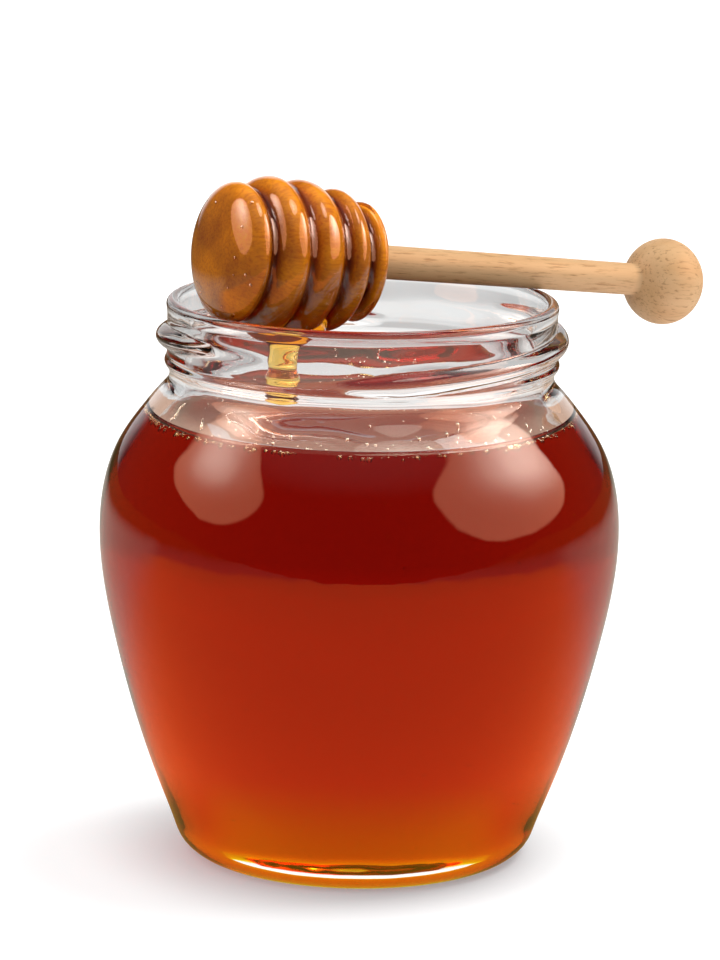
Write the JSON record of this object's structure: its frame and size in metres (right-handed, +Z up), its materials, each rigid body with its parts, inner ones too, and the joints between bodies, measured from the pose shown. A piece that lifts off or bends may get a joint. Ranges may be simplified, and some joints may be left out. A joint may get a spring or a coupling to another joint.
{
  "type": "honey jar",
  "caption": "Pot-bellied clear glass jar with a screw finish, filled with amber honey, a honey-coated turned wooden dipper resting across its open mouth.",
  "frame": {"origin": "on the jar's axis, on the plane the jar stands on", "axes": "+Z up along the jar's axis, +Y towards the back, +X to the right, where the dipper's handle points (and 30 degrees towards the back)"},
  "size_m": [0.0939, 0.0804, 0.1075],
  "materials": {
    "jar_glass": "clear polished",
    "honey": "glossy, dark amber, see-through in thin layers",
    "beech": "bare, sanded, fine flecks",
    "clinging_honey": "wet gloss, golden amber"
  },
  "bodies": {
    "root": {"glass_jar": "jar_glass", "honey": "honey", "dipper": "beech", "honey_coat": "clinging_honey"}
  },
  "joints": []
}
